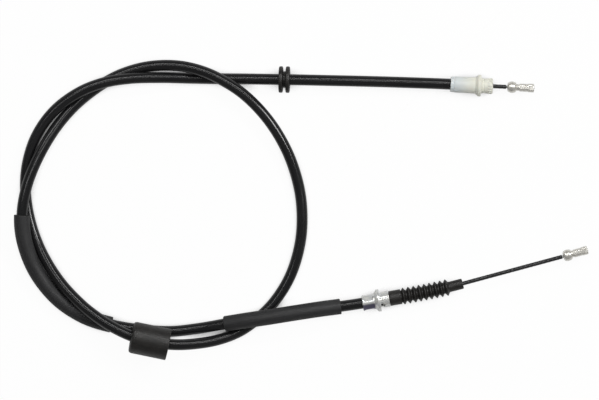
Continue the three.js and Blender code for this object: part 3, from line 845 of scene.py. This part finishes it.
# Extruded rubber: duller than the jacket, with long streaks from the die and a dusty bloom
bloom = patches(nodes, (25 * mm, 2 * mm, 2 * mm))
tinted(nodes, shader, bloom, "#1d1d1e", "#2b2b2c")
gloss = patches(nodes, (10 * mm, 1 * mm, 1 * mm), low=0.5, high=0.68)
nodes.links.new(gloss, shader.inputs["Roughness"])
bumped(nodes, shader, patches(nodes, (20 * mm, 0.5 * mm, 0.5 * mm)), 0.03 * mm)

hose_sides = 48
hose_rings = 60
hose_edge = 0.35 * mm
for name, node, begin, length, radius in (
    ("loop_hose", "loop_sleeve", 1129.6 * mm, 123.6 * mm, 6.4 * mm),
    ("rear_hose", "rear_sleeve", 1346.0 * mm, 94.0 * mm, 6.25 * mm),
):
    wall = [(length * i / hose_rings, radius, 0.0) for i in range(hose_rings + 1)]
    bore = [(along, conduit_seat, 0.0) for along, _, _ in wall[::-1]]
    wall[0] = (0.0, radius, hose_edge)
    wall[-1] = (length, radius, hose_edge)
    sleeve = turned(name, rounded(wall + bore), hose_sides)
    follow(sleeve, hose, whole_way, begin)
    fitted(sleeve, "conduit", "sleeve_rubber", node)

# Floor and light: a white sheet in a grey studio, with two long soft boxes behind and above the
# cable, a small one at its right and a weak fill overhead, which leaves no highlight. The sheet
# glows almost white by itself, keeps a faint shadow, and has painted shade beside the strands.
floor_mesh = bpy.data.meshes.new("floor")
edge = 9.0
glow_share = 0.96
floor_height = -0.1 * mm
floor_mesh.from_pydata([
    (-edge, -edge, floor_height), (edge, -edge, floor_height),
    (edge, edge, floor_height), (-edge, edge, floor_height),
], [], [(0, 1, 2, 3)])
floor = bpy.data.objects.new("floor", floor_mesh)
bpy.context.scene.collection.objects.link(floor)
sheet, nodes, shader = new_material("white_paper", {"Roughness": 0.9, "Specular IOR Level": 0.1})
shader.inputs["Base Color"].default_value = linear("#f2f2f0")
ray = add_node(nodes, "ShaderNodeLightPath")
# Painted shade: an occlusion test dims the glow on the strip of sheet right beside a strand, and in the gap
# between two
nearness = add_node(nodes, "ShaderNodeAmbientOcclusion", {"Distance": 14 * mm}, samples=12)
painted_gap_shade = add_node(nodes, "ShaderNodeMapRange", {
    "Value": nearness.outputs["AO"], "From Min": 0.2, "From Max": 0.6, "To Min": 0.03, "To Max": 1.0,
})
# Painted shade in reflections: glossy rays see the glow at the occlusion value times 0.6
painted_shade_in_gloss = add_node(nodes, "ShaderNodeMath", {0: nearness.outputs["AO"], 1: 0.6}, operation="MULTIPLY")
bright = add_node(nodes, "ShaderNodeMix", {
    0: ray.outputs["Is Glossy Ray"], 2: painted_gap_shade.outputs["Result"], 3: painted_shade_in_gloss.outputs[0],
}, data_type="FLOAT")
glow = add_node(nodes, "ShaderNodeEmission", {"Color": (1, 1, 1, 1), "Strength": bright.outputs[0]})
seen_ray = add_node(nodes, "ShaderNodeMath", {
    0: ray.outputs["Is Camera Ray"], 1: ray.outputs["Is Glossy Ray"],
}, operation="MAXIMUM")
seen_ray = add_node(nodes, "ShaderNodeMath", {
    0: seen_ray.outputs[0], 1: ray.outputs["Is Transmission Ray"],
}, operation="MAXIMUM")
share = add_node(nodes, "ShaderNodeMath", {
    0: seen_ray.outputs[0], 1: glow_share,
}, operation="MULTIPLY")
mixed = add_node(nodes, "ShaderNodeMixShader", {
    0: share.outputs[0], 1: shader.outputs[0], 2: glow.outputs[0],
})
nodes.links.new(mixed.outputs[0], nodes.nodes["Material Output"].inputs["Surface"])
floor_mesh.materials.append(sheet)

world = bpy.data.worlds.new("studio")
bpy.context.scene.world = world
world.use_nodes = True
world.node_tree.nodes["Background"].inputs["Color"].default_value = linear("#6e6e6e")
world.node_tree.nodes["Background"].inputs["Strength"].default_value = 1.0


def soft_box(name, place, size, radiance, gloss=True):
    """A rectangular lamp that faces the cable. Radiance 1 looks white."""
    data = bpy.data.lights.new(name, "AREA")
    data.shape = "RECTANGLE"
    data.size, data.size_y = size
    data.energy = radiance * math.pi * size[0] * size[1]
    lamp = bpy.data.objects.new(name, data)
    bpy.context.scene.collection.objects.link(lamp)
    lamp.location = place
    lamp.rotation_euler = (-Vector(place)).to_track_quat("-Z", "Y").to_euler()
    lamp.visible_glossy = gloss
    return lamp


soft_box("back_box", (0.0, 1.1, 1.55), (2.6, 0.16), 10.0)
soft_box("middle_box", (0.0, 0.4, 1.9), (2.6, 0.12), 6.0)
soft_box("right_box", (1.3, 0.55, 1.5), (0.5, 0.5), 18.0)
soft_box("top_fill", (0.0, 0.0, 2.4), (2.0, 2.0), 0.8, gloss=False)

bpy.context.scene.view_settings.view_transform = "Standard"
